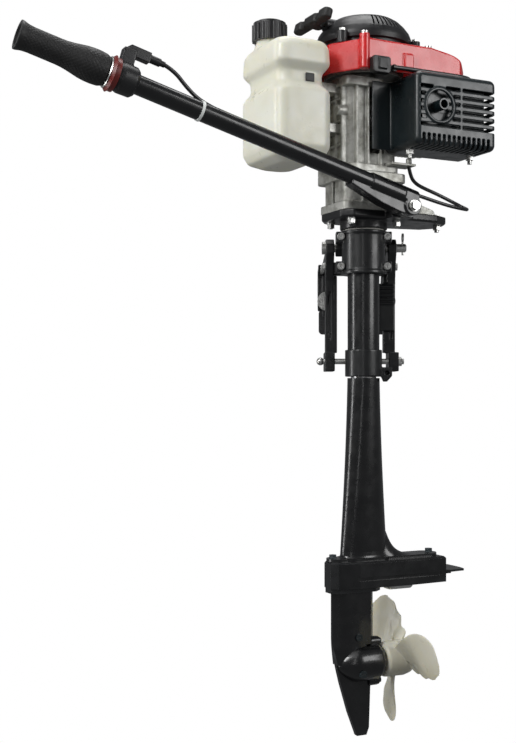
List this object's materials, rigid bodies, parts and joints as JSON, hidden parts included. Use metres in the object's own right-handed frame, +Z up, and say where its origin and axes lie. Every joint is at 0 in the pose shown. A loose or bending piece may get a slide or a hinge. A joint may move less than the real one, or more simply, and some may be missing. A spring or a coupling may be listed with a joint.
{
  "type": "outboard motor",
  "caption": "Air-cooled petrol outboard motor with a clamp bracket, tilt, full-turn steering, folding tiller with twist grip, pull starter, fuel tank and bevel-driven propeller.",
  "frame": {"origin": "middle of the transom seat, the flat underside of the clamp bracket's cross member", "axes": "+X along the transom to starboard, +Y forward into the boat, +Z up; the motor is stored swivelled 116 degrees about its steering axis, which is 93 mm behind the origin"},
  "size_m": [0.6036, 0.4725, 0.987],
  "materials": {
    "black_paint": "gloss",
    "black_satin": "satin",
    "black_bracket": "satin",
    "red_paint": "gloss",
    "cast_aluminium": "cast",
    "zinc": "satin",
    "steel": "machined",
    "ivory_plastic": "satin",
    "ivory_nylon": "satin",
    "black_plastic": "satin",
    "black_rubber": "matt",
    "dark_red_plastic": "satin",
    "red_button": "gloss",
    "bush_plastic": "satin",
    "porcelain": "gloss"
  },
  "bodies": {
    "clamp_bracket": {"bracket_left": "black_bracket", "bracket_right": "black_bracket", "bracket_crossmember": "black_bracket", "bracket_bolts": "zinc", "tilt_pin": "zinc", "trim_pin": "zinc"},
    "clamp_pad_left": {"clamp_pad_left": "zinc"},
    "clamp_pad_right": {"clamp_pad_right": "zinc"},
    "clamp_screw_left": {"clamp_screw_left": "zinc"},
    "clamp_screw_right": {"clamp_screw_right": "zinc"},
    "clamp_paddle_left": {"clamp_paddle_left": "black_plastic"},
    "clamp_paddle_right": {"clamp_paddle_right": "black_plastic"},
    "swivel": {"swivel_bracket": "black_bracket", "swivel_cap": "black_bracket", "swivel_cap_screws": "zinc", "swivel_tube": "black_paint", "swivel_bushes": "bush_plastic", "lower_collar": "black_bracket"},
    "motor": {"leg_tube": "steel", "leg_casting": "black_paint", "exhaust_housing": "black_paint", "gear_housing": "black_paint", "gearcase_cap": "black_paint", "gearcase_screws": "black_satin", "anode": "zinc", "mount_plate": "black_bracket", "mount_bolts": "zinc", "crankcase_base": "cast_aluminium", "crankcase": "cast_aluminium", "cylinder": "cast_aluminium", "cylinder_head": "cast_aluminium", "spark_plug": "porcelain", "ignition_coil": "black_plastic", "fan_shroud": "red_paint", "recoil_cover": "black_plastic", "cover_screws": "zinc", "carburettor": "cast_aluminium", "air_cleaner": "black_plastic", "muffler": "black_satin", "muffler_cover": "black_satin", "fuel_tank": "ivory_plastic", "throttle_cable_loop": "black_rubber"},
    "crank": {"crankshaft": "steel", "flywheel": "cast_aluminium", "drive_shaft": "steel"},
    "propeller": {"prop_shaft": "steel", "propeller": "ivory_nylon", "prop_nut": "zinc"},
    "piston": {"piston": "cast_aluminium", "connecting_rod": "steel"},
    "fuel_cap": {"fuel_cap": "black_plastic"},
    "tiller": {"tiller_casting": "black_paint", "tiller_tube": "black_paint", "throttle_housing": "black_plastic", "throttle_ring": "dark_red_plastic", "throttle_cable": "black_rubber"},
    "twist_grip": {"twist_grip": "black_rubber"},
    "stop_button": {"stop_button": "red_button"},
    "starter_handle": {"starter_handle": "black_rubber"},
    "starter_reel": {"starter_reel": "black_plastic"}
  },
  "joints": [
    {"name": "tilt", "type": "hinge", "parent": "clamp_bracket", "child": "swivel", "pos_m": [0, -0.047, 0.03], "axis": [-1, 0, 0], "range_deg": [0, 55]},
    {"name": "steering", "type": "hinge", "parent": "swivel", "child": "motor", "pos_m": [0, -0.093, 0], "axis": [0, 0, 1], "continuous": true},
    {"name": "pad_slide_left", "type": "slide", "parent": "clamp_bracket", "child": "clamp_pad_left", "axis": [0, -1, 0], "range_m": [0, 0.018]},
    {"name": "screw_turn_left", "type": "hinge", "parent": "clamp_pad_left", "child": "clamp_screw_left", "pos_m": [-0.044, 0.045, -0.04], "axis": [0, -1, 0], "range_deg": [0, 3240]},
    {"name": "paddle_fold_left", "type": "hinge", "parent": "clamp_screw_left", "child": "clamp_paddle_left", "pos_m": [-0.044, 0.07, -0.04], "axis": [1, 0, 0], "range_deg": [0, 90]},
    {"name": "pad_slide_right", "type": "slide", "parent": "clamp_bracket", "child": "clamp_pad_right", "axis": [0, -1, 0], "range_m": [0, 0.018]},
    {"name": "screw_turn_right", "type": "hinge", "parent": "clamp_pad_right", "child": "clamp_screw_right", "pos_m": [0.044, 0.045, -0.04], "axis": [0, -1, 0], "range_deg": [0, 3240]},
    {"name": "paddle_fold_right", "type": "hinge", "parent": "clamp_screw_right", "child": "clamp_paddle_right", "pos_m": [0.044, 0.07, -0.04], "axis": [1, 0, 0], "range_deg": [0, 90]},
    {"name": "crank_spin", "type": "hinge", "parent": "motor", "child": "crank", "pos_m": [0, -0.093, 0.2], "axis": [0, 0, 1], "continuous": true},
    {"name": "prop_spin", "type": "hinge", "parent": "motor", "child": "propeller", "pos_m": [0.04494, -0.07108, -0.549], "axis": [0.8988, 0.4384, 0], "continuous": true},
    {"name": "piston_stroke", "type": "slide", "parent": "motor", "child": "piston", "axis": [-0.8988, -0.4384, 0], "range_m": [0, 0.028]},
    {"name": "fuel_cap_turn", "type": "hinge", "parent": "motor", "child": "fuel_cap", "pos_m": [-0.13054, -0.13331, 0.31], "axis": [0, 0, 1], "range_deg": [0, 540]},
    {"name": "tiller_fold", "type": "hinge", "parent": "motor", "child": "tiller", "pos_m": [0.05535, -0.14945, 0.072], "axis": [-0.4384, 0.8988, 0], "range_deg": [0, 40], "deforming": ["throttle_cable_loop"]},
    {"name": "throttle_twist", "type": "hinge", "parent": "tiller", "child": "twist_grip", "pos_m": [-0.35759, -0.35086, 0.21139], "axis": [-0.8657, -0.4222, 0.2689], "range_deg": [0, 75]},
    {"name": "stop_press", "type": "slide", "parent": "tiller", "child": "stop_button", "axis": [0.4384, -0.8988, 0], "range_m": [0, 0.0018], "stiffness_N_per_m": 600},
    {"name": "starter_pull", "type": "slide", "parent": "motor", "child": "starter_handle", "axis": [-0.8682, -0.4234, 0.2588], "range_m": [0, 0.45], "stiffness_N_per_m": 25, "springref_m": -0.1},
    {"name": "reel_spin", "type": "hinge", "parent": "motor", "child": "starter_reel", "pos_m": [0, -0.093, 0.313], "axis": [0, 0, 1], "range_deg": [0, 720]}
  ],
  "couplings": [
    {"joint": "pad_slide_left", "follows": "screw_turn_left", "m_per_rad": 0.00031828},
    {"joint": "pad_slide_right", "follows": "screw_turn_right", "m_per_rad": 0.00031828},
    {"joint": "prop_spin", "follows": "crank_spin", "ratio": -0.5},
    {"joint": "reel_spin", "follows": "starter_pull", "rad_per_m": 27.9}
  ]
}
